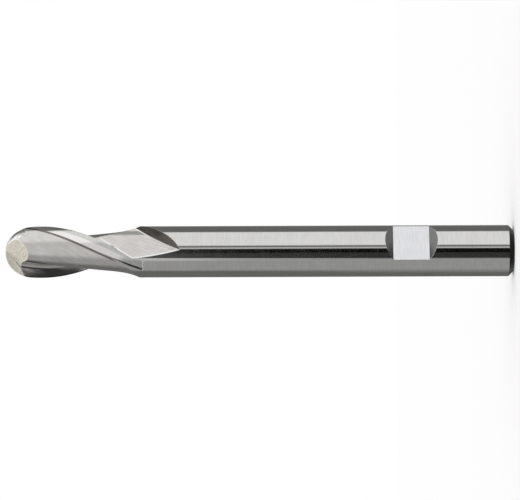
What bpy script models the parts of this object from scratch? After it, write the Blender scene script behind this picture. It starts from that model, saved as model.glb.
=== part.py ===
"""Two-flute ball nose end mill on a plain shank with one clamping flat.

The tool stands on its shank end: origin in the middle of that end face, +Z along the
axis towards the nose, the clamping flat facing -Y. It is one solid, made the way the real
one is ground: a turned blank, two helical flutes, the run-outs the fluting wheel leaves
where it lifts out, the land relief, the nose gashes and the clamping flat.
"""
import math

import bpy
import bmesh
from mathutils import Matrix, Vector

MM = 0.001

# Blank
RADIUS = 5.0 * MM  # shank and cutting part alike
LENGTH = 99.0 * MM  # overall, shank end to tip of the nose
END_CHAMFER = 1.0 * MM  # at 45 degrees round the shank end
BLANK_SEGMENTS = 96
NOSE_RINGS = 16

# Flutes. Distances along the axis are measured back from the tip of the nose.
FLUTES = 2
HELIX_ANGLE = math.radians(25.6)
CORE_RADIUS = 0.5 * RADIUS
RAKE_ANGLE = math.radians(8.0)
GULLET_TURN = math.radians(28.0)  # bottom of the gullet, ahead of the cutting edge
HEEL_TURN = math.radians(157.0)  # heel of the next land, ahead of the cutting edge
BACK_POWER = 0.88  # how fast the back of a tooth rises from core to heel
END_FACE_ANGLE = math.radians(-10.5)  # the faces of the end cutting edges lie along this line
JUNCTION_TURN = math.radians(-4.3)  # first edge, where ball meets cylinder, from that line
FULL_DEPTH = 20.0 * MM  # from here on the flute gets shallower
GULLET_END = 21.3 * MM
FLUTE_END = 27.4 * MM
BACK_LIFT = 0.27 * RADIUS  # how far the back of the flute has risen at FLUTE_END

# Run-out: what the fluting wheel leaves at its last place, next to each edge.
WHEEL_RADIUS = 66.0 * MM
WHEEL_DEEPEST = 19.3 * MM
WHEEL_AHEAD = math.radians(16.5)  # of the cutting edge, at the deepest place
WHEEL_SETTING = math.radians(30.0)
WHEEL_BEVEL = math.radians(28.0)  # lean of the wall at the shank side
WHEEL_TOE = math.radians(12.0)  # that wall turned out of the wheel's own direction
WALL_DISTANCE = 0.988 * RADIUS
EDGE_CLEAR = math.radians(5.1)  # how far the last cut reaches behind the edge
EDGE_CLEAR_AT = 22.75 * MM
EDGE_CLEAR_SLOPE = math.radians(31.4)

# Land relief
MARGIN_TURN = math.radians(2.5)
RELIEF_DROP = 0.048 * RADIUS  # at the heel
RELIEF_END = 26.9 * MM
NOSE_DROP = 0.072 * RADIUS  # of the ball behind its edges
NOSE_LAND_TURN = math.radians(85.0)  # how far behind the edge the ball is relieved
NOSE_EDGE_END = 0.52 * RADIUS  # nearer the tip than this, the edge turns no further

# Nose gashes
WEB_HALF = 0.024 * RADIUS  # half the thickness between the two end faces
FACE_SLOPE = 0.02  # end rake face against the axis
GASH_START = -0.108 * RADIUS
GASH_SLOPE = 1.05  # gash floor, rise per length along the axis
GASH_TILT = 1.266  # and along the end edge

# Clamping flat
FLAT_FROM_END = 20.0 * MM
FLAT_LENGTH = 7.0 * MM
FLAT_HEIGHT = 1.68 * RADIUS  # flat to the far side of the shank

LEAD = 2 * math.pi * RADIUS / math.tan(HELIX_ANGLE)
OUTSIDE = 1.5 * RADIUS
STEPS_FLUTE = 40
STEPS_GULLET = 8
STEPS_BACK = 20
STEPS_WHEEL = 24
STEPS_NOSE = 12
STEPS_TAIL = 12


def clear_scene():
    for obj in list(bpy.data.objects):
        bpy.data.objects.remove(obj, do_unlink=True)


def smooth(x):
    x = min(max(x, 0.0), 1.0)
    return x * x * (3 - 2 * x)


def edge_angle(s):
    """World angle of the first cutting edge, s back from the tip."""
    return END_FACE_ANGLE + JUNCTION_TURN - 2 * math.pi * (s - RADIUS) / LEAD


def at(s, angle, radius):
    return Vector((radius * math.cos(angle), radius * math.sin(angle), LENGTH - s))


def new_object(name, bm):
    bmesh.ops.recalc_face_normals(bm, faces=bm.faces)
    mesh = bpy.data.meshes.new(name)
    bm.to_mesh(mesh)
    bm.free()
    obj = bpy.data.objects.new(name, mesh)
    bpy.context.scene.collection.objects.link(obj)
    return obj


def loft(name, loops):
    """Closed solid through loops of equally many points, flat ends filled."""
    bm = bmesh.new()
    rows = [[bm.verts.new(p) for p in loop] for loop in loops]
    count = len(rows[0])
    for low, high in zip(rows, rows[1:]):
        for i in range(count):
            j = (i + 1) % count
            bm.faces.new((low[i], low[j], high[j], high[i]))
    bm.faces.new(rows[0])
    bm.faces.new(rows[-1])
    return new_object(name, bm)


def revolve(name, profile, segments):
    """Solid of revolution about Z; the profile starts and ends on the axis."""
    bm = bmesh.new()
    first = bm.verts.new((0, 0, profile[0][1]))
    last = bm.verts.new((0, 0, profile[-1][1]))
    rings = []
    for radius, z in profile[1:-1]:
        turn = [2 * math.pi * i / segments for i in range(segments)]
        rings.append([bm.verts.new((radius * math.cos(a), radius * math.sin(a), z)) for a in turn])
    for i in range(segments):
        j = (i + 1) % segments
        bm.faces.new((first, rings[0][j], rings[0][i]))
        bm.faces.new((last, rings[-1][i], rings[-1][j]))
        for low, high in zip(rings, rings[1:]):
            bm.faces.new((low[i], low[j], high[j], high[i]))
    return new_object(name, bm)


def make_blank():
    profile = [(0, 0), (RADIUS - END_CHAMFER, 0), (RADIUS, END_CHAMFER)]
    profile.append((RADIUS, LENGTH - FLUTE_END - RADIUS))
    for k in range(NOSE_RINGS):
        lift = 0.5 * math.pi * k / NOSE_RINGS
        profile.append((RADIUS * math.cos(lift), LENGTH - RADIUS + RADIUS * math.sin(lift)))
    profile.append((0, LENGTH))
    return revolve("end_mill", profile, BLANK_SEGMENTS)


def flute_section():
    """Points (turn ahead of the edge, radius) from the rake face round to past the heel."""
    face = []
    for reach in (OUTSIDE, RADIUS, 0.82 * RADIUS, 0.66 * RADIUS):
        back = (RADIUS - reach) * math.tan(RAKE_ANGLE)
        face.append(Vector((reach, -back)))
    low = Vector((0.97 * CORE_RADIUS, -0.5 * CORE_RADIUS * math.tan(RAKE_ANGLE)))
    foot = Vector((math.cos(GULLET_TURN), math.sin(GULLET_TURN))) * back_radius(GULLET_TURN)
    points = list(face)
    for k in range(1, STEPS_GULLET + 1):
        t = k / STEPS_GULLET
        points.append(face[-1] * (1 - t) ** 2 + low * 2 * t * (1 - t) + foot * t * t)
    section = [(math.atan2(p.y, p.x), p.length) for p in points]
    past = HEEL_TURN + math.radians(12)
    for k in range(1, STEPS_BACK + 1):
        turn = GULLET_TURN + (past - GULLET_TURN) * k / STEPS_BACK
        section.append((turn, back_radius(turn)))
    section.append((past, OUTSIDE))
    for k in range(1, 5):
        section.append((past * (1 - k / 5), 1.3 * OUTSIDE))
    return section


def back_radius(turn):
    part = (turn - 0.8 * GULLET_TURN) / (HEEL_TURN - 0.8 * GULLET_TURN)
    return CORE_RADIUS + (RADIUS - CORE_RADIUS) * max(part, 0.0) ** BACK_POWER


def flute_lift(turn, s):
    """How far the wheel has lifted: the gullet first, the back of the tooth later."""
    share = smooth((turn - math.radians(35)) / math.radians(40))
    late = max(0.0, (s - FULL_DEPTH) / (FLUTE_END - FULL_DEPTH))
    early = max(0.0, s - GULLET_END) * 2.5
    return share * BACK_LIFT * late ** 3 + (1 - share) * min(early, 0.7 * RADIUS)


def stations():
    """Distances back from the tip at which the flutes and the lands are worked out."""
    start = -0.3 * RADIUS
    places = [start + (FULL_DEPTH - start) * k / STEPS_FLUTE for k in range(STEPS_FLUTE + 1)]
    return places + [FULL_DEPTH + (FLUTE_END - FULL_DEPTH) * k / STEPS_TAIL for k in range(1, STEPS_TAIL + 1)]


def make_flute(number):
    turn_on = 2 * math.pi * number / FLUTES
    section = flute_section()
    loops = []
    for s in stations():
        base = edge_angle(s) + turn_on
        loops.append([at(s, base + turn, radius + flute_lift(turn, s)) for turn, radius in section])
    return loft(f"flute_wheel_{number + 1}", loops)


def make_runout(number):
    """The wheel at its last place: an arched floor between two side walls."""
    origin = Vector((0, 0, LENGTH - WHEEL_DEEPEST))
    angle = edge_angle(WHEEL_DEEPEST) + WHEEL_AHEAD
    back = Vector((0, 0, -1))
    out = Vector((math.cos(angle), math.sin(angle), 0))
    round_ = Vector((-math.sin(angle), math.cos(angle), 0))
    along = math.cos(WHEEL_SETTING) * back - math.sin(WHEEL_SETTING) * round_
    across = math.sin(WHEEL_SETTING) * back + math.cos(WHEEL_SETTING) * round_
    wall = math.cos(WHEEL_BEVEL) * (math.cos(WHEEL_TOE) * across + math.sin(WHEEL_TOE) * along)
    wall -= math.sin(WHEEL_BEVEL) * out
    clear = edge_angle(EDGE_CLEAR_AT) - EDGE_CLEAR
    side = Vector((-math.sin(clear), math.cos(clear), 0)) * math.cos(EDGE_CLEAR_SLOPE)
    side += back * math.sin(EDGE_CLEAR_SLOPE)
    side_at = (at(EDGE_CLEAR_AT, clear, RADIUS) - origin).dot(side)
    high = 1.6 * RADIUS
    loops = []
    for k in range(STEPS_WHEEL + 1):
        run = -0.6 * RADIUS + 4.6 * RADIUS * k / STEPS_WHEEL
        rise = CORE_RADIUS + WHEEL_RADIUS - math.sqrt(WHEEL_RADIUS ** 2 - run ** 2)
        corners = []
        for lift, normal, distance in ((0, side, side_at), (0, wall, WALL_DISTANCE),
                                       (high, wall, WALL_DISTANCE), (high, side, side_at)):
            foot = out * (rise + lift) + along * run
            shift = (distance - foot.dot(normal)) / across.dot(normal)
            corners.append(origin + foot + across * shift)
        loops.append(corners)
    obj = loft(f"runout_wheel_{number + 1}", loops)
    obj.rotation_euler.z = 2 * math.pi * number / FLUTES
    return obj


def relief_loop(centre, outward, behind, nose, fade):
    """Section of the shell behind an edge; nose goes from 0 on the cylinder to 1 on the ball."""
    steps = 10
    side_width = 1.25 * (math.pi * 2 / FLUTES - HEEL_TURN)
    width = side_width + (NOSE_LAND_TURN - side_width) * nose
    drop = (1.25 * RELIEF_DROP * (1 - nose) + NOSE_DROP * nose) * fade
    loop = []
    for i in range(steps + 1):
        part = i / steps
        turn = MARGIN_TURN + (width - MARGIN_TURN) * part
        radius = 1.0005 * RADIUS - drop * ((1 - nose) * part + nose * smooth(3.3 * part))
        loop.append(centre + (outward * math.cos(turn) + behind * math.sin(turn)) * radius)
    for turn in (width, MARGIN_TURN):
        loop.append(centre + (outward * math.cos(turn) + behind * math.sin(turn)) * OUTSIDE)
    return loop


def make_relief(number):
    """Shell behind each edge, over the ball and along the helix, that takes down the land."""
    turn_on = 2 * math.pi * number / FLUTES
    quarter = 0.5 * math.pi
    first = math.radians(3)
    places = []
    for k in range(STEPS_NOSE):
        polar = first + (quarter - first) * k / STEPS_NOSE
        places.append((RADIUS * (1 - math.cos(polar)), polar))
    inside = [s for s in stations() if RADIUS + 0.2 * MM < s < RELIEF_END - 0.2 * MM]
    places += [(s, quarter) for s in [RADIUS] + inside + [RELIEF_END]]
    loops = []
    for s, polar in places:
        base = edge_angle(max(s, NOSE_EDGE_END)) + turn_on
        centre = Vector((0, 0, LENGTH - max(s, RADIUS)))
        outward = at(LENGTH, base, math.sin(polar)) + Vector((0, 0, math.cos(polar)))
        behind = at(LENGTH, base - quarter, 1.0)
        nose = smooth((math.radians(80) - polar) / math.radians(25))
        fade = smooth((polar - first) / math.radians(12))
        loops.append(relief_loop(centre, outward, behind, nose, fade))
    return loft(f"relief_wheel_{number + 1}", loops)


def wedge(name, planes, middle, size):
    """Big block cut down to the side of each plane that its normal points to."""
    bm = bmesh.new()
    bmesh.ops.create_cube(bm, size=size, matrix=Matrix.Translation(middle))
    for point, normal in planes:
        everything = bm.verts[:] + bm.edges[:] + bm.faces[:]
        cut = bmesh.ops.bisect_plane(bm, geom=everything, plane_co=point, plane_no=normal,
                                     clear_inner=True)
        rim = [e for e in cut["geom_cut"] if isinstance(e, bmesh.types.BMEdge)]
        bmesh.ops.edgeloop_fill(bm, edges=rim)
    return new_object(name, bm)


def make_gash(number):
    """V-shaped cut over the nose: one face makes the end rake face, the other the chip room."""
    up = Vector((math.cos(END_FACE_ANGLE), math.sin(END_FACE_ANGLE), 0))
    front = Vector((math.sin(END_FACE_ANGLE), -math.cos(END_FACE_ANGLE), 0))
    tip = Vector((0, 0, LENGTH))
    axis = Vector((0, 0, 1))
    face = (tip + front * WEB_HALF, front + axis * FACE_SLOPE)
    floor = (tip + front * GASH_START, front + axis * GASH_SLOPE - up * GASH_TILT)
    middle = tip + front * 3 * RADIUS
    obj = wedge(f"gash_wheel_{number + 1}", (face, floor), middle, 8 * RADIUS)
    obj.rotation_euler.z = 2 * math.pi * number / FLUTES
    return obj


def make_flat():
    deep = FLAT_HEIGHT - RADIUS
    half = 0.5 * FLAT_LENGTH
    rise = 1.4 * RADIUS - deep
    loops = []
    for x in (-1.4 * RADIUS, 1.4 * RADIUS):
        loops.append([Vector((x, y, z)) for y, z in (
            (-deep, FLAT_FROM_END - half),
            (-deep, FLAT_FROM_END + half),
            (-deep - rise, FLAT_FROM_END + half + rise),
            (-deep - rise, FLAT_FROM_END - half - rise))])
    return loft("flat_wheel", loops)


def cut(body, cutter):
    cutter.display_type = "WIRE"
    cutter.hide_render = True
    boolean = body.modifiers.new(cutter.name, "BOOLEAN")
    boolean.operation = "DIFFERENCE"
    boolean.solver = "EXACT"
    boolean.object = cutter


def steel():
    material = bpy.data.materials.new("ground_high_speed_steel")
    material.use_nodes = True
    surface = material.node_tree.nodes["Principled BSDF"]
    surface.inputs["Base Color"].default_value = (0.62, 0.62, 0.60, 1)
    surface.inputs["Metallic"].default_value = 1.0
    surface.inputs["Roughness"].default_value = 0.22
    return material


def main():
    clear_scene()
    mill = make_blank()
    mill.data.materials.append(steel())
    for number in range(FLUTES):
        cut(mill, make_relief(number))
        cut(mill, make_flute(number))
        cut(mill, make_runout(number))
        cut(mill, make_gash(number))
    cut(mill, make_flat())
    mill.data.shade_smooth()
    mill.data.set_sharp_from_angle(angle=math.radians(30))


main()
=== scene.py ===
"""Looks of a two-flute ball nose end mill, ground from one bar of high speed steel.

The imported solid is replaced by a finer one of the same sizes. A turned blank is cut by the
same grinding wheels, and each wheel leaves its own finish on the faces that it cuts.
"""
import logging
import math
from dataclasses import dataclass, field
from enum import Enum
from typing import Callable, Sequence

import bmesh
import bpy
from mathutils import Matrix, Vector

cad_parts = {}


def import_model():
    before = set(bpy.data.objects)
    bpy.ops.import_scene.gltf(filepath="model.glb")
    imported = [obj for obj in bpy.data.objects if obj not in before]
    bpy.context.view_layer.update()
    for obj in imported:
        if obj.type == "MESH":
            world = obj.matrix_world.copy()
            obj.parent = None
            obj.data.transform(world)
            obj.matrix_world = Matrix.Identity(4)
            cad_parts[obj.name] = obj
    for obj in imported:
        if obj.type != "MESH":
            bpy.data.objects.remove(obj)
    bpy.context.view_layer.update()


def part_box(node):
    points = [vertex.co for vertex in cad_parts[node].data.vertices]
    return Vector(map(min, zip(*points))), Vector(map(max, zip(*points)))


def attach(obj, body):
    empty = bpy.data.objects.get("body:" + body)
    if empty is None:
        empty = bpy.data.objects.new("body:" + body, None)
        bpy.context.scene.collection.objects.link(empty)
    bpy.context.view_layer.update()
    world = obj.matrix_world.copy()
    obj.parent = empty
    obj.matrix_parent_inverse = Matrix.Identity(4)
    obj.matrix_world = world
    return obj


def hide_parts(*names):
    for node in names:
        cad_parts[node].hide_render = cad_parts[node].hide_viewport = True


LOG = logging.getLogger("end_mill")
MM = 0.001
IMAGE_WIDTH = 520
IMAGE_HEIGHT = 500

Colour = tuple[float, float, float]
Point = Vector
Socket = bpy.types.NodeSocket

# Closer than this, in metres, two places are the same.
NEAR = 0.001 * MM

# Ranges of noise that the steel's marks, stains and specks take up.
FINE_RANGE = (0.35, 0.65)
BROAD_RANGE = (0.32, 0.68)
STAIN_RANGE = (0.35, 0.72)
SPECK_RANGE = (0.46, 0.66)
FINE_DETAIL = 3.0
BROAD_DETAIL = 2.0
STAIN_DETAIL = 3.0
SPECK_DETAIL = 4.0
STAIN_SIZE = 2.0 * MM

# Parts that fine marks, broad marks and stains have in the colour.
FINE_SHARE = 0.45
BROAD_SHARE = 0.3
STAIN_SHARE = 0.25

# Bend between a face and its rounded edge, from none to a full edge, and the colour of the highlight painted
# along the edges.
EDGE_BEND = (0.998, 0.95)
EDGE_SAMPLES = 8
EDGE_HIGHLIGHT_COLOUR: Colour = (1.0, 0.99, 0.97)


def linear(red: float, green: float, blue: float) -> Colour:
    """Linear light of a display colour.

    Args:
        red: Display value from 0 to 255.
        green: Display value from 0 to 255.
        blue: Display value from 0 to 255.

    Returns:
        The three values as linear light.
    """
    values = []
    for value in (red, green, blue):
        part = value / 255
        values.append(part / 12.92 if part <= 0.04045 else ((part + 0.055) / 1.055) ** 2.4)
    return values[0], values[1], values[2]


def smooth_step(value: float) -> float:
    """Smooth rise from 0 to 1 as value goes from 0 to 1."""
    part = min(max(value, 0.0), 1.0)
    return part * part * (3 - 2 * part)


def deselect_all() -> None:
    """Leaves edit mode and selects nothing."""
    if bpy.context.object and bpy.context.object.mode != "OBJECT":
        bpy.ops.object.mode_set(mode="OBJECT")
    bpy.ops.object.select_all(action="DESELECT")


def edit(obj: bpy.types.Object) -> bmesh.types.BMesh:
    """Opens one mesh in edit mode with nothing selected.

    Args:
        obj: The object to edit.

    Returns:
        Its edit mesh.
    """
    deselect_all()
    obj.select_set(True)
    bpy.context.view_layer.objects.active = obj
    bpy.ops.object.mode_set(mode="EDIT")
    bpy.ops.mesh.select_all(action="DESELECT")
    return bmesh.from_edit_mesh(obj.data)


def select_edges(obj: bpy.types.Object, wanted: Callable[[bmesh.types.BMEdge], bool]) -> None:
    """Selects the edges of the edited mesh that a test picks.

    Args:
        obj: The object in edit mode.
        wanted: Says whether an edge is picked.
    """
    bpy.ops.mesh.select_mode(type="EDGE")
    mesh = bmesh.from_edit_mesh(obj.data)
    for edge in mesh.edges:
        edge.select_set(wanted(edge))
    bmesh.update_edit_mesh(obj.data)


@dataclass
class ToolSizes:
    """Sizes that several wheels share. Distances run back from the tip of the nose."""

    radius: float
    length: float
    helix_angle: float = math.radians(25.6)
    core_radius: float = 2.5 * MM
    end_face_angle: float = math.radians(-10.5)
    junction_turn: float = math.radians(-4.3)
    flutes: int = 2
    heel_turn: float = math.radians(157.0)

    @property
    def lead(self) -> float:
        """Length along the axis in which an edge goes once round."""
        return 2 * math.pi * self.radius / math.tan(self.helix_angle)

    def edge_angle(self, back: float) -> float:
        """Angle of the first cutting edge.

        Args:
            back: Distance back from the tip.

        Returns:
            The angle about +Z, in radians.
        """
        turned = 2 * math.pi * (back - self.radius) / self.lead
        return self.end_face_angle + self.junction_turn - turned

    def at(self, back: float, angle: float, radius: float) -> Point:
        """Point at a distance back from the tip, an angle and a radius."""
        return Vector((radius * math.cos(angle), radius * math.sin(angle), self.length - back))


class Nodes:
    """Short way to add and link shader nodes."""

    def __init__(self, tree: bpy.types.NodeTree) -> None:
        """Keeps the tree that the nodes go into."""
        self.tree = tree

    def add(self, kind: str, inputs: dict[object, object] | None = None,
            **settings: object) -> bpy.types.Node:
        """Adds a node, sets it up and links or fills its inputs.

        Args:
            kind: Node type without the ShaderNode in front.
            inputs: Socket name or number to a value or an output socket.
            settings: Attributes of the node.

        Returns:
            The node.
        """
        node = self.tree.nodes.new("ShaderNode" + kind)
        for name, value in settings.items():
            setattr(node, name, value)
        for key, value in (inputs or {}).items():
            if isinstance(value, Socket):
                self.tree.links.new(value, node.inputs[key])
            else:
                node.inputs[key].default_value = value
        return node

    def math(self, operation: str, *values: object, clamp: bool = False) -> Socket:
        """Result of a Math node on values or sockets."""
        node = self.add("Math", dict(enumerate(values)), operation=operation, use_clamp=clamp)
        return node.outputs[0]

    def dot(self, vector: Socket, direction: Sequence[float]) -> Socket:
        """Part of a vector along a fixed direction."""
        node = self.add("VectorMath", {0: vector, 1: tuple(direction)}, operation="DOT_PRODUCT")
        return node.outputs["Value"]

    def ramp(self, value: object, low: float, high: float, start: float = 0.0, end: float = 1.0,
             smooth: bool = True) -> Socket:
        """Value mapped from low..high to start..end and held there beyond."""
        kind = "SMOOTHSTEP" if smooth else "LINEAR"
        node = self.add("MapRange", {"Value": value, "From Min": low, "From Max": high,
                                     "To Min": start, "To Max": end}, interpolation_type=kind)
        return node.outputs["Result"]

    def mix(self, factor: object, first: object, second: object) -> Socket:
        """Colour between first and second."""
        node = self.add("Mix", {"Factor": factor}, data_type="RGBA")
        for key, value in ((6, first), (7, second)):
            if isinstance(value, Socket):
                self.tree.links.new(value, node.inputs[key])
            else:
                node.inputs[key].default_value = (*value, 1.0)
        return node.outputs[2]


class Grain(Enum):
    """Direction in which a wheel's marks run."""

    ROUND = "round the axis"
    HELIX = "along the flute"
    WHEEL = "along the wheel's last cut"
    ACROSS = "across the flat"
    GASH = "down the gash"


@dataclass(frozen=True)
class PaintedRimLine:
    """Painted line along the rim of the flutes, between two distances from the axis: a highlight when its
    colour is pale, shade when it is dark.
    """

    start: float
    full: float
    colour: Colour
    share: float
    end: float = 23.5 * MM
    fade: float = 1.5 * MM


@dataclass(frozen=True)
class PaintedFacingShade:
    """Painted shade on faces whose normal has a part along the axis between these values."""

    start: float
    full: float
    fade: float
    end: float
    colour: Colour
    both_ways: bool = False


@dataclass(frozen=True)
class PaintedStreak:
    """Painted dark reflection in a streak along the far side of a run-out, between distances from the axis.
    """

    turn: float
    start: float
    full: float
    fade: float
    end: float
    colour: Colour
    share: float


@dataclass(frozen=True)
class Specks:
    """Small dark specks near the tip, from one distance back to another."""

    size: float
    full: float
    end: float
    colour: Colour


@dataclass(frozen=True)
class SteelFinish:
    """Ground or polished steel with the marks of the wheel that cut it, and with light and shade painted
    into its colour.
    """

    name: str
    grain: Grain
    colour: Colour = (0.80, 0.80, 0.785)
    tint: Colour = (0.70, 0.69, 0.665)
    roughness: float = 0.2
    roughness_spread: float = 0.06
    fine_marks: float = 0.06 * MM
    broad_marks: float = 0.35 * MM
    mark_length: float = 4.0 * MM
    fine_depth: float = 0.0004 * MM
    broad_depth: float = 0.0015 * MM
    # Share of the highlight painted into the colour along the edges.
    edge_highlight: float = 0.5
    edge_width: float = 0.09 * MM
    edge_rounded: bool = True
    line_width: float = 0.0
    line_core: float = 0.6
    rim: PaintedRimLine | None = None
    facing_shade: PaintedFacingShade | None = None
    painted_streak: PaintedStreak | None = None
    specks: Specks | None = None

    def make(self, sizes: ToolSizes) -> bpy.types.Material:
        """Makes the node material.

        Args:
            sizes: The tool's sizes, which set the way the marks run.

        Returns:
            The material.
        """
        material = bpy.data.materials.new(self.name)
        material.use_nodes = True
        tree = material.node_tree
        nodes = Nodes(tree)
        surface = tree.nodes["Principled BSDF"]
        surface.inputs["Metallic"].default_value = 1.0
        place = nodes.add("TexCoord").outputs["Object"]
        across, along = self.mark_coordinates(nodes, sizes)
        fine = self.marks(nodes, across, along, self.fine_marks, FINE_DETAIL)
        broad = self.marks(nodes, across, along, self.broad_marks, BROAD_DETAIL)
        cloud = nodes.add("TexNoise", {"Vector": place, "Scale": 1 / STAIN_SIZE, "Detail": STAIN_DETAIL,
                                       "Roughness": 0.55}).outputs["Fac"]
        stain = nodes.ramp(cloud, *STAIN_RANGE)
        colour = self.ground_colour(nodes, fine, broad, stain)
        if self.rim:
            colour = self.with_painted_rim(nodes, place, sizes, colour)
        if self.painted_streak:
            colour = self.with_painted_streak(nodes, place, sizes, colour)
        if self.specks:
            colour = self.with_specks(nodes, place, sizes, colour)
        soft = nodes.add("Bevel", {"Radius": self.edge_width}, samples=EDGE_SAMPLES).outputs["Normal"]
        colour = self.with_edges(nodes, place, sizes, colour, soft)
        tree.links.new(colour, surface.inputs["Base Color"])
        tree.links.new(self.rough(nodes, fine, stain), surface.inputs["Roughness"])
        tree.links.new(self.grooved(nodes, fine, broad, soft), surface.inputs["Normal"])
        return material

    def ground_colour(self, nodes: Nodes, fine: Socket, broad: Socket, stain: Socket) -> Socket:
        """Colour of the ground steel, from its marks and stains."""
        tone = nodes.math("MULTIPLY_ADD", nodes.ramp(broad, *BROAD_RANGE), BROAD_SHARE,
                          nodes.math("MULTIPLY", stain, STAIN_SHARE))
        tone = nodes.math("MULTIPLY_ADD", nodes.ramp(fine, *FINE_RANGE), FINE_SHARE, tone)
        return nodes.mix(tone, self.colour, self.tint)

    def with_painted_rim(self, nodes: Nodes, place: Socket, sizes: ToolSizes, colour: Socket) -> Socket:
        """Paints the line along the rim of the flutes, a highlight when its colour is pale and shade when it
        is dark.

        Args:
            nodes: The tree's helper.
            place: Place on the object.
            sizes: The tool's sizes.
            colour: The colour so far.

        Returns:
            The colour with the line.
        """
        rim = self.rim
        # Painted highlight or painted shade, as the line's colour is pale or dark.
        line = nodes.ramp(self.from_axis(nodes, place), rim.start, rim.full, 0.0, rim.share)
        up_tool = nodes.add("SeparateXYZ", {0: place}).outputs[2]
        line_end = sizes.length - rim.end
        ahead = nodes.ramp(up_tool, line_end, line_end + rim.fade)
        return nodes.mix(nodes.math("MULTIPLY", line, ahead), colour, rim.colour)

    def with_painted_streak(self, nodes: Nodes, place: Socket, sizes: ToolSizes, colour: Socket) -> Socket:
        """Paints the dark reflection in a streak along the far side of each run-out.

        Args:
            nodes: The tree's helper.
            place: Place on the object.
            sizes: The tool's sizes.
            colour: The colour so far.

        Returns:
            The colour with the streak.
        """
        painted_streak = self.painted_streak
        out = RunoutWheel(sizes, 0).directions()[0]
        far = Matrix.Rotation(painted_streak.turn, 3, "Z") @ out
        side = nodes.math("SIGN", nodes.dot(place, out))
        reach = nodes.math("MULTIPLY", nodes.dot(place, far), side)
        rise = nodes.ramp(reach, painted_streak.start, painted_streak.full, 0.0, painted_streak.share)
        streak = nodes.math("MULTIPLY", rise, nodes.ramp(reach, painted_streak.end, painted_streak.fade))
        return nodes.mix(streak, colour, painted_streak.colour)

    def with_specks(self, nodes: Nodes, place: Socket, sizes: ToolSizes, colour: Socket) -> Socket:
        """Adds the small dark specks near the tip.

        Args:
            nodes: The tree's helper.
            place: Place on the object.
            sizes: The tool's sizes.
            colour: The colour so far.

        Returns:
            The colour with the specks.
        """
        specks = self.specks
        grains = nodes.add("TexNoise", {"Vector": place, "Scale": 1 / specks.size,
                                        "Detail": SPECK_DETAIL}).outputs["Fac"]
        up_tool = nodes.add("SeparateXYZ", {0: place}).outputs[2]
        near = nodes.ramp(up_tool, sizes.length - specks.end, sizes.length - specks.full)
        share = nodes.math("MULTIPLY", nodes.ramp(grains, *SPECK_RANGE), near)
        return nodes.mix(share, colour, specks.colour)

    def with_edges(self, nodes: Nodes, place: Socket, sizes: ToolSizes, colour: Socket,
                   soft: Socket) -> Socket:
        """Paints shade on the faces that look along the axis and paints a highlight along the edges.

        Args:
            nodes: The tree's helper.
            place: Place on the object.
            sizes: The tool's sizes.
            colour: The colour so far.
            soft: Normal with rounded edges.

        Returns:
            The finished colour.
        """
        plain = nodes.add("NewGeometry").outputs["Normal"]
        bend = nodes.add("VectorMath", {0: soft, 1: plain}, operation="DOT_PRODUCT").outputs["Value"]
        edge = nodes.ramp(bend, *EDGE_BEND)
        if self.line_width:
            edge = nodes.math("MAXIMUM", edge, self.edge_lines(nodes, place, sizes))
        # The shine is a highlight painted into the colour along the edges.
        shine = nodes.math("MULTIPLY", edge, self.edge_highlight)
        # Painted shade on the faces that look along the axis, which also takes the painted edge highlight
        # off them.
        facing_shade = self.facing_shade
        if facing_shade:
            level = nodes.dot(plain, (0, 0, 1))
            if facing_shade.both_ways:
                level = nodes.math("ABSOLUTE", level)
            share = nodes.math("MULTIPLY", nodes.ramp(level, facing_shade.start, facing_shade.full),
                               nodes.ramp(level, facing_shade.end, facing_shade.fade))
            colour = nodes.mix(share, colour, facing_shade.colour)
            shine = nodes.math("MULTIPLY", shine, nodes.math("SUBTRACT", 1.0, share))
        return nodes.mix(shine, colour, EDGE_HIGHLIGHT_COLOUR)

    def rough(self, nodes: Nodes, fine: Socket, stain: Socket) -> Socket:
        """Roughness, which follows the fine marks and the stains."""
        spread = nodes.math("MULTIPLY", nodes.math("SUBTRACT", fine, 0.5), self.roughness_spread * 2)
        worn = nodes.math("MULTIPLY", stain, self.roughness_spread)
        return nodes.math("ADD", nodes.math("ADD", spread, worn), self.roughness, clamp=True)

    def grooved(self, nodes: Nodes, fine: Socket, broad: Socket, soft: Socket) -> Socket:
        """Normal with the wheel's marks, and with rounded edges if the finish has them."""
        low = {"Height": broad, "Distance": self.broad_depth, "Strength": 1.0}
        if self.edge_rounded:
            low["Normal"] = soft
        high = {"Height": fine, "Distance": self.fine_depth, "Strength": 1.0,
                "Normal": nodes.add("Bump", low).outputs["Normal"]}
        return nodes.add("Bump", high).outputs["Normal"]

    def from_axis(self, nodes: Nodes, place: Socket) -> Socket:
        """Distance of a place from the tool's axis."""
        parts = nodes.add("SeparateXYZ", {0: place}).outputs
        flat_place = nodes.add("CombineXYZ", {0: parts[0], 1: parts[1]}).outputs[0]
        return nodes.add("VectorMath", {0: flat_place}, operation="LENGTH").outputs["Value"]

    def edge_lines(self, nodes: Nodes, place: Socket, sizes: ToolSizes) -> Socket:
        """Painted highlight along the two straight edges of a run-out's floor.

        Args:
            nodes: The tree's helper.
            place: Place on the object.
            sizes: The tool's sizes.

        Returns:
            A value from 0 to 1.
        """
        wheel = RunoutWheel(sizes, 0)
        side = nodes.math("SIGN", nodes.dot(place, wheel.directions()[0]))
        parts = nodes.add("SeparateXYZ", {0: place}).outputs
        level = [nodes.math("MULTIPLY", parts[number], side) for number in (0, 1)]
        same = nodes.add("CombineXYZ", {0: level[0], 1: level[1], 2: parts[2]}).outputs[0]
        lines = []
        for normal, distance in wheel.planes():
            gap = nodes.math("SUBTRACT", nodes.dot(same, normal), wheel.origin().dot(normal) + distance)
            gap = nodes.math("ABSOLUTE", gap)
            lines.append(nodes.ramp(gap, self.line_width, self.line_core * self.line_width))
        return nodes.math("MAXIMUM", *lines)

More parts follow.
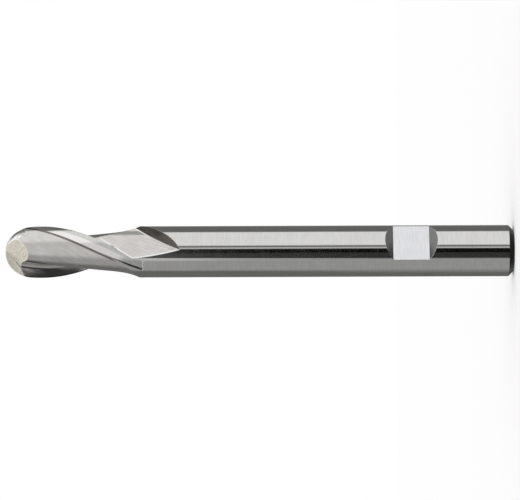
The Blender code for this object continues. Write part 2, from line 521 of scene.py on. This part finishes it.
    def marks(self, nodes: Nodes, across: Socket, along: Socket,
              width: float, detail: float) -> Socket:
        """Long thin streaks.

        Args:
            nodes: The tree's helper.
            across: Distance across the marks.
            along: Distance along them.
            width: Width of one mark.
            detail: Octaves of noise.

        Returns:
            A value from 0 to 1.
        """
        vector = nodes.add("CombineXYZ", {0: nodes.math("DIVIDE", across, width),
                                          1: nodes.math("DIVIDE", along, self.mark_length)})
        noise = nodes.add("TexNoise", {"Vector": vector.outputs[0], "Scale": 1.0, "Detail": detail,
                                       "Roughness": 0.6}, noise_dimensions="2D")
        return noise.outputs["Fac"]

    def mark_coordinates(self, nodes: Nodes, sizes: ToolSizes) -> tuple[Socket, Socket]:
        """Distances across and along the marks.

        Args:
            nodes: The tree's helper.
            sizes: The tool's sizes.

        Returns:
            The two sockets, in metres.
        """
        place = nodes.add("TexCoord").outputs["Object"]
        parts = nodes.add("SeparateXYZ", {0: place}).outputs
        turn = nodes.math("ARCTAN2", parts[1], parts[0])
        if self.grain is Grain.ROUND:
            across = nodes.math("SUBTRACT", parts[2], self.from_axis(nodes, place))
            return across, nodes.math("MULTIPLY", turn, sizes.radius)
        if self.grain is Grain.ACROSS:
            return parts[2], parts[0]
        if self.grain is Grain.HELIX:
            twist = nodes.math("MULTIPLY", parts[2], 2 * math.pi / sizes.lead)
            sine = nodes.math("SINE", nodes.math("SUBTRACT", turn, twist))
            return nodes.math("MULTIPLY", sine, sizes.radius), parts[2]
        if self.grain is Grain.WHEEL:
            out, along, across = RunoutWheel(sizes, 0).directions()
        else:
            out = Vector((math.sin(sizes.end_face_angle), -math.cos(sizes.end_face_angle), 0))
            across = Vector((math.cos(sizes.end_face_angle), math.sin(sizes.end_face_angle), 0))
            along = Vector((0, 0, 1))
        side = nodes.math("SIGN", nodes.dot(place, out))
        level = nodes.math("ADD", nodes.math("MULTIPLY", parts[0], across.x),
                           nodes.math("MULTIPLY", parts[1], across.y))
        height = nodes.math("MULTIPLY", parts[2], across.z)
        width = nodes.math("ADD", nodes.math("MULTIPLY", level, side), height)
        run = nodes.math("ADD", nodes.math("MULTIPLY", parts[0], along.x),
                         nodes.math("MULTIPLY", parts[1], along.y))
        length = nodes.math("ADD", nodes.math("MULTIPLY", run, side),
                            nodes.math("MULTIPLY", parts[2], along.z))
        return width, length


# Painted shade on the end chamfer and a painted highlight along the edges.
SHANK = SteelFinish(
    "steel_ground_shank", Grain.ROUND, roughness=0.075, roughness_spread=0.02,
    fine_marks=0.05 * MM, broad_marks=0.5 * MM, mark_length=3 * MM,
    fine_depth=0.00006 * MM, broad_depth=0.0002 * MM, edge_highlight=0.8,
    facing_shade=PaintedFacingShade(start=-0.95, full=-0.80, fade=-0.60, end=-0.45, colour=(0.016, 0.016, 0.015)))
# Painted highlight in the line along the margin, and a faint one along the edges.
LAND = SteelFinish(
    "steel_relieved_land", Grain.ROUND, colour=(0.82, 0.82, 0.80), tint=(0.60, 0.61, 0.57),
    roughness=0.075, roughness_spread=0.03, fine_depth=0.0001 * MM, broad_depth=0.0004 * MM,
    edge_highlight=0.1, rim=PaintedRimLine(start=4.90 * MM, full=4.875 * MM, colour=(1.0, 0.98, 0.96), share=0.9),
    specks=Specks(size=0.4 * MM, full=3.6 * MM, end=5.2 * MM, colour=(0.44, 0.46, 0.41)))
# Painted shade in the dark line along the rim, and a faint painted highlight along the edges.
FLUTE = SteelFinish(
    "steel_ground_flute", Grain.HELIX, colour=(0.83, 0.82, 0.80), tint=(0.66, 0.645, 0.61),
    roughness=0.17, roughness_spread=0.05, fine_marks=0.07 * MM, broad_marks=0.4 * MM,
    mark_length=3 * MM, fine_depth=0.0005 * MM, broad_depth=0.0012 * MM, edge_highlight=0.1,
    rim=PaintedRimLine(start=4.80 * MM, full=4.825 * MM, colour=(0.16, 0.13, 0.11), share=0.85, end=22.0 * MM))
# Painted shade on the faces that look towards the tip, painted highlights along the edges and the rim, and a
# painted dark reflection in the streak along the far side.
RUNOUT = SteelFinish(
    "steel_wheel_runout", Grain.WHEEL, colour=(0.84, 0.81, 0.795), tint=(0.61, 0.58, 0.565),
    roughness=0.16, roughness_spread=0.05, fine_marks=0.07 * MM, broad_marks=0.35 * MM,
    mark_length=6 * MM, fine_depth=0.0003 * MM, broad_depth=0.0008 * MM, edge_highlight=1.0,
    edge_width=0.1 * MM, edge_rounded=False, line_width=0.28 * MM,
    facing_shade=PaintedFacingShade(start=0.40, full=0.50, fade=1.2, end=1.3, colour=(0.11, 0.10, 0.09)),
    rim=PaintedRimLine(start=4.72 * MM, full=4.80 * MM, colour=(1.0, 1.0, 0.99), share=1.0, end=40 * MM),
    painted_streak=PaintedStreak(turn=math.radians(49.8), start=3.1 * MM, full=3.5 * MM, fade=3.95 * MM, end=4.15 * MM,
              colour=(0.30, 0.31, 0.28), share=0.9))
# Painted highlight along the edges.
GASH = SteelFinish(
    "steel_nose_gash", Grain.GASH, colour=(0.74, 0.70, 0.60), tint=(0.52, 0.49, 0.42),
    roughness=0.2, roughness_spread=0.06, fine_marks=0.1 * MM, broad_marks=0.3 * MM,
    mark_length=1.5 * MM, fine_depth=0.0006 * MM, broad_depth=0.002 * MM, edge_highlight=1.0,
    edge_width=0.2 * MM, edge_rounded=False,
    specks=Specks(size=0.35 * MM, full=4.0 * MM, end=5.5 * MM, colour=(0.50, 0.48, 0.42)))
# Painted shade on the ramps at the ends of the flat and a painted highlight along its edges.
FLAT = SteelFinish(
    "steel_clamping_flat", Grain.ACROSS, colour=(0.92, 0.92, 0.95), tint=(0.80, 0.805, 0.83),
    roughness=0.2, roughness_spread=0.05, fine_marks=0.12 * MM, broad_marks=0.4 * MM,
    mark_length=2.5 * MM, fine_depth=0.0006 * MM, broad_depth=0.0012 * MM, edge_highlight=0.9,
    edge_width=0.12 * MM,
    facing_shade=PaintedFacingShade(start=0.40, full=0.50, fade=1.2, end=1.3, colour=(0.20, 0.20, 0.195), both_ways=True))


@dataclass
class Blank:
    """Turned and ground bar with a ball nose and a chamfered shank end."""

    sizes: ToolSizes
    end_chamfer: float = 1.0 * MM
    nose_share: float = 0.9995
    segments: int = 256
    nose_rings: int = 40

    def build(self) -> bpy.types.Object:
        """Models the bar and returns its object."""
        sizes = self.sizes
        deselect_all()
        bpy.ops.mesh.primitive_cylinder_add(vertices=self.segments, radius=sizes.radius, depth=sizes.length,
                                            location=(0, 0, 0.5 * sizes.length))
        blank = bpy.context.object
        blank.name = "ground_end_mill"
        blank.data.name = blank.name
        bpy.ops.object.transform_apply(location=True)
        edit(blank)
        self.round_nose(blank)
        self.chamfer_end(blank)
        bpy.ops.object.mode_set(mode="OBJECT")
        return blank

    def round_nose(self, blank: bpy.types.Object) -> None:
        """Bevels the upper rim by nearly the whole radius and closes the rest, which leaves half a ball."""
        top = self.sizes.length
        select_edges(blank, lambda edge: all(abs(v.co.z - top) < NEAR for v in edge.verts))
        bpy.ops.mesh.bevel(offset=self.sizes.radius * self.nose_share, segments=self.nose_rings, profile=0.5,
                           affect="EDGES", clamp_overlap=False)
        bpy.ops.mesh.select_mode(type="FACE")
        bpy.ops.mesh.select_all(action="DESELECT")
        mesh = bmesh.from_edit_mesh(blank.data)
        cap = max(mesh.faces, key=lambda face: face.calc_center_median().z)
        cap.select_set(True)
        bmesh.update_edit_mesh(blank.data)
        bpy.ops.mesh.merge(type="CENTER")

    def chamfer_end(self, blank: bpy.types.Object) -> None:
        """Bevels the lower rim once, at 45 degrees."""
        select_edges(blank, lambda edge: all(abs(v.co.z) < NEAR for v in edge.verts))
        bpy.ops.mesh.bevel(offset=self.end_chamfer, segments=1, affect="EDGES", clamp_overlap=False)


def sweep(name: str, loops: Sequence[Sequence[Point]], finish: bpy.types.Material) -> bpy.types.Object:
    """Closed solid through loops of points: a filled ring, extruded from each to the next.

    Args:
        name: Name of the object.
        loops: Loops of equally many points.
        finish: Material that the solid leaves on what it cuts.

    Returns:
        The object.
    """
    deselect_all()
    bpy.ops.mesh.primitive_circle_add(vertices=len(loops[0]), radius=1, fill_type="NGON")
    obj = bpy.context.object
    obj.name = name
    obj.data.materials.append(finish)
    bpy.ops.object.mode_set(mode="EDIT")
    bpy.ops.mesh.select_mode(type="FACE")
    for number, loop in enumerate(loops):
        if number:
            bpy.ops.mesh.extrude_region_move()
        mesh = bmesh.from_edit_mesh(obj.data)
        cap = next(face for face in mesh.faces if face.select)
        for vertex, point in zip(cap.verts, loop):
            vertex.co = point
        bmesh.update_edit_mesh(obj.data)
    bpy.ops.mesh.select_all(action="SELECT")
    bpy.ops.mesh.normals_make_consistent(inside=False)
    bpy.ops.object.mode_set(mode="OBJECT")
    return obj


def turned(obj: bpy.types.Object, angle: float) -> bpy.types.Object:
    """Turns an object's mesh about the tool's axis and returns the object."""
    obj.data.transform(Matrix.Rotation(angle, 4, "Z"))
    return obj


# A wheel's solid reaches this far past the bar, and its outer corners farther still.
OUTSIDE = 1.5
FARTHER = 1.3


@dataclass
class FluteWheel:
    """What the fluting wheel takes out along the helix."""

    sizes: ToolSizes
    number: int
    rake_angle: float = math.radians(8.0)
    gullet_turn: float = math.radians(28.0)
    back_power: float = 0.88
    full_depth: float = 20.0 * MM
    gullet_end: float = 21.3 * MM
    flute_end: float = 27.4 * MM
    back_lift: float = 1.35 * MM
    face_shares: tuple[float, ...] = (1.5, 0.92, 0.79, 0.66)
    gullet_low: tuple[float, float] = (0.97, 0.5)
    back_start: float = 0.8
    past_heel: float = math.radians(12)
    outside_steps: int = 5
    lift_from: float = math.radians(35)
    lift_over: float = math.radians(40)
    gullet_lift: float = 2.5
    gullet_lift_most: float = 0.7
    first_share: float = -0.3
    gullet_steps: int = 14
    back_steps: int = 34
    stations: int = 84
    tail_stations: int = 30

    def back_radius(self, turn: float) -> float:
        """Radius of the back of the next tooth, a turn ahead of the edge."""
        start = self.back_start * self.gullet_turn
        part = max((turn - start) / (self.sizes.heel_turn - start), 0.0)
        core = self.sizes.core_radius
        return core + (self.sizes.radius - core) * part ** self.back_power

    def section(self) -> list[tuple[float, float]]:
        """Outline of the cut as turns ahead of the edge and radii."""
        outside = OUTSIDE * self.sizes.radius
        core = self.sizes.core_radius
        face = []
        for share in self.face_shares:
            reach = share * self.sizes.radius
            face.append(Vector((reach, (reach - self.sizes.radius) * math.tan(self.rake_angle))))
        ahead, below = self.gullet_low
        low = Vector((ahead * core, -below * core * math.tan(self.rake_angle)))
        foot = Vector((math.cos(self.gullet_turn), math.sin(self.gullet_turn)))
        foot *= self.back_radius(self.gullet_turn)
        points = list(face)
        for step in range(1, self.gullet_steps + 1):
            t = step / self.gullet_steps
            points.append(face[-1] * (1 - t) ** 2 + low * 2 * t * (1 - t) + foot * t * t)
        outline = [(math.atan2(p.y, p.x), p.length) for p in points]
        past = self.sizes.heel_turn + self.past_heel
        for step in range(1, self.back_steps + 1):
            turn = self.gullet_turn + (past - self.gullet_turn) * step / self.back_steps
            outline.append((turn, self.back_radius(turn)))
        outline.append((past, outside))
        steps = self.outside_steps
        outline += [(past * (1 - k / steps), FARTHER * outside) for k in range(1, steps)]
        return outline

    def lift(self, turn: float, back: float) -> float:
        """How far the wheel has lifted, the gullet first and the back of the tooth later."""
        share = smooth_step((turn - self.lift_from) / self.lift_over)
        late = max(0.0, (back - self.full_depth) / (self.flute_end - self.full_depth))
        early = max(0.0, back - self.gullet_end) * self.gullet_lift
        early = min(early, self.gullet_lift_most * self.sizes.radius)
        return share * self.back_lift * late ** 3 + (1 - share) * early

    def build(self, finish: bpy.types.Material) -> bpy.types.Object:
        """Sweeps the outline along the helix.

        Args:
            finish: Material that the wheel leaves.

        Returns:
            The cutting solid.
        """
        sizes = self.sizes
        start = self.first_share * sizes.radius
        places = [start + (self.full_depth - start) * k / self.stations for k in range(self.stations + 1)]
        tail = self.flute_end - self.full_depth
        for k in range(1, self.tail_stations + 1):
            places.append(self.full_depth + tail * k / self.tail_stations)
        turn_on = 2 * math.pi * self.number / sizes.flutes
        outline = self.section()
        loops = []
        for back in places:
            base = sizes.edge_angle(back) + turn_on
            loop = []
            for turn, radius in outline:
                loop.append(sizes.at(back, base + turn, radius + self.lift(turn, back)))
            loops.append(loop)
        return sweep(f"flute_wheel_{self.number + 1}", loops, finish)


@dataclass
class RunoutWheel:
    """The fluting wheel at its last place, next to each edge."""

    sizes: ToolSizes
    number: int
    wheel_radius: float = 66.0 * MM
    deepest: float = 19.3 * MM
    ahead: float = math.radians(16.5)
    setting: float = math.radians(30.0)
    bevel: float = math.radians(28.0)
    toe: float = math.radians(12.0)
    wall_distance: float = 4.94 * MM
    edge_clear: float = math.radians(5.1)
    edge_clear_at: float = 22.75 * MM
    edge_clear_slope: float = math.radians(31.4)
    run_start: float = -0.6
    run_length: float = 4.6
    high_share: float = 1.6
    steps: int = 60

    def directions(self) -> tuple[Vector, Vector, Vector]:
        """Directions away from the axis, along the wheel's cut and across it."""
        angle = self.sizes.edge_angle(self.deepest) + self.ahead
        back = Vector((0, 0, -1))
        out = Vector((math.cos(angle), math.sin(angle), 0))
        round_axis = Vector((-math.sin(angle), math.cos(angle), 0))
        along = math.cos(self.setting) * back - math.sin(self.setting) * round_axis
        across = math.sin(self.setting) * back + math.cos(self.setting) * round_axis
        return out, along, across

    def origin(self) -> Point:
        """Point of the axis level with the deepest place."""
        return Vector((0, 0, self.sizes.length - self.deepest))

    def planes(self) -> tuple[tuple[Vector, float], tuple[Vector, float]]:
        """Planes of the wall and of the edge side, as normals and distances from the origin."""
        out, along, across = self.directions()
        wall = math.cos(self.bevel) * (math.cos(self.toe) * across + math.sin(self.toe) * along)
        wall -= math.sin(self.bevel) * out
        clear = self.sizes.edge_angle(self.edge_clear_at) - self.edge_clear
        side = Vector((-math.sin(clear), math.cos(clear), 0)) * math.cos(self.edge_clear_slope)
        side += Vector((0, 0, -1)) * math.sin(self.edge_clear_slope)
        side_at = (self.sizes.at(self.edge_clear_at, clear, self.sizes.radius) - self.origin()).dot(side)
        return (wall, self.wall_distance), (side, side_at)

    def build(self, finish: bpy.types.Material) -> bpy.types.Object:
        """Sweeps the wheel's rim along its arc.

        Args:
            finish: Material that the wheel leaves.

        Returns:
            The cutting solid.
        """
        sizes = self.sizes
        origin = self.origin()
        out, along, across = self.directions()
        wall, side = self.planes()
        high = self.high_share * sizes.radius
        corners = ((0.0, *side), (0.0, *wall), (high, *wall), (high, *side))
        loops = []
        for step in range(self.steps + 1):
            run = sizes.radius * (self.run_start + self.run_length * step / self.steps)
            rise = sizes.core_radius + self.wheel_radius - math.sqrt(self.wheel_radius ** 2 - run ** 2)
            loop = []
            for lift, normal, distance in corners:
                foot = out * (rise + lift) + along * run
                loop.append(origin + foot + across * ((distance - foot.dot(normal)) / across.dot(normal)))
            loops.append(loop)
        cutter = sweep(f"runout_wheel_{self.number + 1}", loops, finish)
        return turned(cutter, 2 * math.pi * self.number / sizes.flutes)


@dataclass
class ReliefWheel:
    """Shell behind each edge, over the ball and along the helix, which takes down the land."""

    sizes: ToolSizes
    number: int
    margin_turn: float = math.radians(2.5)
    drop: float = 0.24 * MM
    end: float = 26.9 * MM
    nose_drop: float = 0.36 * MM
    nose_land_turn: float = math.radians(85.0)
    nose_from: float = math.radians(80.0)
    nose_blend: float = math.radians(25.0)
    tip_fade: float = math.radians(12.0)
    nose_edge_end: float = 2.6 * MM
    first_polar: float = math.radians(3.0)
    over_heel: float = 1.25
    over_bar: float = 1.0005
    nose_steepness: float = 3.3
    steps: int = 24
    stations: int = 80
    nose_stations: int = 40

    def section(self, centre: Point, outward: Vector, behind: Vector, nose: float,
                fade: float) -> list[Point]:
        """Section of the shell, from the margin to past the heel.

        Args:
            centre: Centre of the land's arc.
            outward: Direction from the centre to the edge.
            behind: Direction behind the edge.
            nose: 0 on the cylinder, 1 on the ball.
            fade: Share of the relief that is ground, 0 at the tip.

        Returns:
            The points of the section.
        """
        radius = self.sizes.radius
        side_width = self.over_heel * (2 * math.pi / self.sizes.flutes - self.sizes.heel_turn)
        width = side_width + (self.nose_land_turn - side_width) * nose
        drop = (self.over_heel * self.drop * (1 - nose) + self.nose_drop * nose) * fade
        turns, radii = [], []
        for i in range(self.steps + 1):
            part = i / self.steps
            turns.append(self.margin_turn + (width - self.margin_turn) * part)
            fall = (1 - nose) * part + nose * smooth_step(self.nose_steepness * part)
            radii.append(self.over_bar * radius - drop * fall)
        turns += [width, self.margin_turn]
        radii += [OUTSIDE * radius, OUTSIDE * radius]
        return [centre + (outward * math.cos(a) + behind * math.sin(a)) * r for a, r in zip(turns, radii)]

    def build(self, finish: bpy.types.Material) -> bpy.types.Object:
        """Swings the section over the ball and sweeps it along the helix.

        Args:
            finish: Material that the wheel leaves.

        Returns:
            The cutting solid.
        """
        sizes = self.sizes
        quarter = 0.5 * math.pi
        turn_on = 2 * math.pi * self.number / sizes.flutes
        places = []
        for k in range(self.nose_stations):
            polar = self.first_polar + (quarter - self.first_polar) * k / self.nose_stations
            places.append((sizes.radius * (1 - math.cos(polar)), polar))
        length = self.end - sizes.radius
        places += [(sizes.radius + length * k / self.stations, quarter) for k in range(self.stations + 1)]
        loops = []
        for back, polar in places:
            base = sizes.edge_angle(max(back, self.nose_edge_end)) + turn_on
            centre = Vector((0, 0, sizes.length - max(back, sizes.radius)))
            outward = sizes.at(sizes.length, base, math.sin(polar)) + Vector((0, 0, math.cos(polar)))
            behind = sizes.at(sizes.length, base - quarter, 1.0)
            nose = smooth_step((self.nose_from - polar) / self.nose_blend)
            fade = smooth_step((polar - self.first_polar) / self.tip_fade)
            loops.append(self.section(centre, outward, behind, nose, fade))
        return sweep(f"relief_wheel_{self.number + 1}", loops, finish)


@dataclass
class GashWheel:
    """V-shaped cut over the nose, which makes one end face and the chip room in front of it."""

    sizes: ToolSizes
    number: int
    web_half: float = 0.12 * MM
    face_slope: float = 0.02
    start: float = -0.54 * MM
    slope: float = 1.05
    tilt: float = 1.266
    block_share: float = 8.0
    block_ahead: float = 3.0

    def build(self, finish: bpy.types.Material) -> bpy.types.Object:
        """Cuts a block down to the two planes.

        Args:
            finish: Material that the wheel leaves.

        Returns:
            The cutting solid.
        """
        sizes = self.sizes
        up = Vector((math.cos(sizes.end_face_angle), math.sin(sizes.end_face_angle), 0))
        front = Vector((math.sin(sizes.end_face_angle), -math.cos(sizes.end_face_angle), 0))
        tip = Vector((0, 0, sizes.length))
        axis = Vector((0, 0, 1))
        deselect_all()
        bpy.ops.mesh.primitive_cube_add(size=self.block_share * sizes.radius,
                                        location=tip + front * self.block_ahead * sizes.radius)
        cutter = bpy.context.object
        cutter.name = f"gash_wheel_{self.number + 1}"
        cutter.data.materials.append(finish)
        bpy.ops.object.transform_apply(location=True)
        bpy.ops.object.mode_set(mode="EDIT")
        planes = ((tip + front * self.web_half, front + axis * self.face_slope),
                  (tip + front * self.start, front + axis * self.slope - up * self.tilt))
        for point, normal in planes:
            bpy.ops.mesh.select_all(action="SELECT")
            bpy.ops.mesh.bisect(plane_co=point, plane_no=normal, use_fill=True, clear_inner=True)
        bpy.ops.mesh.select_all(action="SELECT")
        bpy.ops.mesh.normals_make_consistent(inside=False)
        bpy.ops.object.mode_set(mode="OBJECT")
        return turned(cutter, 2 * math.pi * self.number / sizes.flutes)


@dataclass
class FlatWheel:
    """Wheel that grinds the clamping flat and the ramp at each of its ends."""

    sizes: ToolSizes
    from_end: float = 20.0 * MM
    length: float = 7.0 * MM
    height: float = 8.4 * MM
    top_share: float = 1.4
    width_share: float = 2.8

    def build(self, finish: bpy.types.Material) -> bpy.types.Object:
        """Adds a block over the flat and spreads its outer face along the axis.

        Args:
            finish: Material that the wheel leaves.

        Returns:
            The cutting solid.
        """
        radius = self.sizes.radius
        deep = self.height - radius
        rise = self.top_share * radius - deep
        deselect_all()
        bpy.ops.mesh.primitive_cube_add(size=1, location=(0, -deep - 0.5 * rise, self.from_end),
                                        scale=(self.width_share * radius, rise, self.length))
        cutter = bpy.context.object
        cutter.name = "flat_wheel"
        cutter.data.materials.append(finish)
        bpy.ops.object.transform_apply(location=True, scale=True)
        edit(cutter)
        bpy.ops.mesh.select_mode(type="FACE")
        mesh = bmesh.from_edit_mesh(cutter.data)
        for face in mesh.faces:
            face.select_set(face.calc_center_median().y < NEAR - deep - rise)
        bmesh.update_edit_mesh(cutter.data)
        spread = (self.length + 2 * rise) / self.length
        bpy.ops.transform.resize(value=(1, 1, spread), center_override=(0, -deep - rise, self.from_end))
        bpy.ops.object.mode_set(mode="OBJECT")
        return cutter


@dataclass
class EndMill:
    """The whole tool: the blank after each wheel has cut it."""

    sizes: ToolSizes
    crease: float = math.radians(24)
    weld: float = 0.0005 * MM
    body: bpy.types.Object | None = field(default=None, init=False)

    def build(self) -> bpy.types.Object:
        """Cuts the blank with every wheel and returns the tool."""
        sizes = self.sizes
        body = Blank(sizes).build()
        body.data.materials.append(SHANK.make(sizes))
        wheels = ((FluteWheel, FLUTE), (RunoutWheel, RUNOUT), (ReliefWheel, LAND), (GashWheel, GASH))
        for kind, finish in wheels:
            material = finish.make(sizes)
            for number in range(sizes.flutes):
                self.cut(body, kind(sizes, number).build(material))
        self.cut(body, FlatWheel(sizes).build(FLAT.make(sizes)))
        self.body = body
        return body

    def cut(self, body: bpy.types.Object, wheel: bpy.types.Object) -> None:
        """Takes a wheel's solid out of the body and removes the wheel.

        Args:
            body: The tool so far.
            wheel: The cutting solid.
        """
        deselect_all()
        bpy.context.view_layer.objects.active = body
        body.select_set(True)
        boolean = body.modifiers.new(wheel.name, "BOOLEAN")
        boolean.operation = "DIFFERENCE"
        boolean.solver = "EXACT"
        boolean.material_mode = "TRANSFER"
        boolean.object = wheel
        bpy.ops.object.modifier_apply(modifier=boolean.name)
        LOG.info("%s cut, %d faces", wheel.name, len(body.data.polygons))
        bpy.data.objects.remove(wheel, do_unlink=True)

    def dress(self) -> None:
        """Merges doubles, turns the faces outward, smooths the round surfaces, hangs the tool on the root
        body and hides the part it replaces.
        """
        mesh = edit(self.body)
        for vertex in mesh.verts:
            vertex.co.z = min(vertex.co.z, self.sizes.length)
        bmesh.update_edit_mesh(self.body.data)
        bpy.ops.mesh.select_all(action="SELECT")
        bpy.ops.mesh.remove_doubles(threshold=self.weld)
        bpy.ops.mesh.normals_make_consistent(inside=False)
        bpy.ops.object.mode_set(mode="OBJECT")
        deselect_all()
        self.body.select_set(True)
        bpy.context.view_layer.objects.active = self.body
        bpy.ops.object.shade_smooth_by_angle(angle=self.crease)
        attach(self.body, "root")
        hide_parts("end_mill")


class Shade(Enum):
    """Plain greys of the studio's cards, as display values."""

    WHITE = 238
    PALE = 205
    GREY = 160
    DIM = 108
    DARK = 52
    BLACK = 10


@dataclass(frozen=True)
class Card:
    """Plain card beside the tool, between two angles from the camera's side, in degrees."""

    start: float
    end: float
    shade: Shade


@dataclass
class Studio:
    """Camera, floor and soft surroundings. Directions are camera side, picture up, picture right."""

    sizes: ToolSizes
    roll: float = math.radians(-27.0)
    distance: float = 0.70
    tip_pixel: tuple[float, float] = (5.5, 252.45)
    end_pixel: tuple[float, float] = (513.2, 250.65)
    sensor_width: float = 36.0
    nearest: float = 0.01
    farthest: float = 20.0
    floor_radius: float = 0.6
    floor_sides: int = 96
    floor_paint: float = 0.9
    room: float = 1.1
    shank_cards: tuple[Card, ...] = (
        Card(-180, -120, Shade.DIM),
        Card(-86, -36, Shade.GREY),
        Card(-31, -9, Shade.DARK),
        Card(-6, 11, Shade.BLACK),
        Card(14, 17, Shade.PALE),
        Card(20, 25, Shade.DIM),
        Card(29, 96, Shade.WHITE),
        Card(101, 150, Shade.DIM),
        Card(165, 180, Shade.GREY),
    )
    nose_cards: tuple[Card, ...] = (
        Card(-180, -112, Shade.DIM),
        Card(-92, -62, Shade.GREY),
        Card(-40, 24, Shade.PALE),
        Card(36, 98, Shade.WHITE),
        Card(108, 180, Shade.DIM),
    )
    floor_cards: tuple[Card, ...] = (
        Card(-180, -92, Shade.PALE),
        Card(-68, 52, Shade.DARK),
        Card(78, 180, Shade.PALE),
    )
    nose_side: tuple[float, float] = (0.03, 0.08)
    room_past_nose: tuple[float, float] = (0.60, 0.30)
    floor_side: tuple[float, float] = (-0.40, -0.60)

    def axes(self) -> tuple[Vector, Vector, Vector]:
        """Directions towards the camera, up in the picture and right in the picture."""
        front = Vector((math.sin(self.roll), -math.cos(self.roll), 0))
        up = Vector((math.cos(self.roll), math.sin(self.roll), 0))
        return front, up, Vector((0, 0, -1))

    def build(self) -> None:
        """Adds the camera, the floor and the world."""
        self.add_camera()
        self.add_floor()
        self.add_world()
        bpy.context.scene.view_settings.view_transform = "Standard"

    def add_camera(self) -> None:
        """Places the camera so that tip and shank end fall on their pixels."""
        front, up, right = self.axes()
        across = self.end_pixel[0] - self.tip_pixel[0]
        scale = across / self.sizes.length
        slope = math.atan2(self.tip_pixel[1] - self.end_pixel[1], across)
        turn = Matrix.Rotation(-slope, 3, front)
        right, up = turn @ right, turn @ up
        camera = bpy.data.cameras.new("camera")
        camera.sensor_width = self.sensor_width
        camera.lens = camera.sensor_width * self.distance / (IMAGE_WIDTH / scale)
        camera.clip_start = self.nearest
        camera.clip_end = self.farthest
        holder = bpy.data.objects.new("camera", camera)
        bpy.context.scene.collection.objects.link(holder)
        middle = Vector((0, 0, 0.5 * self.sizes.length))
        off_x = 0.5 * (self.tip_pixel[0] + self.end_pixel[0]) - 0.5 * IMAGE_WIDTH
        off_y = 0.5 * (self.tip_pixel[1] + self.end_pixel[1]) - 0.5 * IMAGE_HEIGHT
        aim = middle - right * (off_x / scale) + up * (off_y / scale)
        frame = Matrix((right, up, front)).transposed().to_4x4()
        holder.matrix_world = Matrix.Translation(aim + front * self.distance) @ frame
        bpy.context.scene.camera = holder

    def add_floor(self) -> None:
        """Adds the pale floor that the tool stands on."""
        deselect_all()
        bpy.ops.mesh.primitive_circle_add(vertices=self.floor_sides, radius=self.floor_radius,
                                          fill_type="NGON")
        floor = bpy.context.object
        floor.name = "floor"
        paint = bpy.data.materials.new("floor_paint")
        paint.use_nodes = True
        surface = paint.node_tree.nodes["Principled BSDF"]
        surface.inputs["Base Color"].default_value = (*(self.floor_paint,) * 3, 1)
        surface.inputs["Roughness"].default_value = 1.0
        surface.inputs["Specular IOR Level"].default_value = 0.0
        floor.data.materials.append(paint)
        floor.visible_glossy = False

    def card_ring(self, nodes: Nodes, turn: Socket, cards: Sequence[Card]) -> Socket:
        """Grey of the cards at an angle round the tool.

        Args:
            nodes: The world's helper.
            turn: Angle as a share of a whole turn, the camera's side at a half.
            cards: The cards of the ring.

        Returns:
            The colour.
        """
        ramp = nodes.add("ValToRGB", {"Fac": turn})
        stops = ramp.color_ramp.elements
        wanted = []
        for card in cards:
            level = linear(*(card.shade.value,) * 3)
            wanted += [((angle + 180) / 360, level) for angle in (card.start, card.end)]
        while len(stops) < len(wanted):
            stops.new(1.0)
        for stop, (place, level) in zip(stops, wanted):
            stop.position = place
            stop.color = (*level, 1)
        return ramp.outputs["Color"]

    def add_world(self) -> None:
        """Adds the surroundings: a white room, with plain grey cards that only the steel mirrors."""
        world = bpy.data.worlds.new("studio")
        bpy.context.scene.world = world
        world.use_nodes = True
        tree = world.node_tree
        nodes = Nodes(tree)
        front, up, right = self.axes()
        ray = nodes.add("TexCoord").outputs["Generated"]
        turn = nodes.math("ARCTAN2", nodes.dot(ray, up), nodes.dot(ray, front))
        turn = nodes.math("ADD", nodes.math("DIVIDE", turn, 2 * math.pi), 0.5)
        height = nodes.math("MULTIPLY", nodes.dot(ray, right), -1.0)
        cards = self.card_ring(nodes, turn, self.shank_cards)
        for side, others in ((self.nose_side, self.nose_cards), (self.floor_side, self.floor_cards)):
            cards = nodes.mix(nodes.ramp(height, *side), cards, self.card_ring(nodes, turn, others))
        path = nodes.add("LightPath").outputs
        seen = nodes.math("MAXIMUM", path["Is Camera Ray"], path["Is Transmission Ray"])
        seen = nodes.math("MAXIMUM", seen, path["Is Glossy Ray"])
        shown = nodes.mix(seen, (self.room,) * 3, (1.0, 1.0, 1.0))
        beside = nodes.math("MULTIPLY", path["Is Glossy Ray"], nodes.ramp(height, *self.room_past_nose))
        shown = nodes.mix(beside, shown, cards)
        background = tree.nodes["Background"]
        tree.links.new(shown, background.inputs["Color"])


def main() -> None:
    """Builds the tool and the studio, and reports each piece."""
    logging.basicConfig(level=logging.INFO, format="%(name)s: %(message)s")
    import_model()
    low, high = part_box("end_mill")
    sizes = ToolSizes(radius=0.5 * (high[0] - low[0]), length=high[2] - low[2])
    mill = EndMill(sizes)
    body = mill.build()
    mill.dress()
    LOG.info("%s: %d faces, %d finishes", body.name, len(body.data.polygons), len(body.data.materials))
    Studio(sizes).build()
    LOG.info("studio ready")


if __name__ == "__main__":
    main()
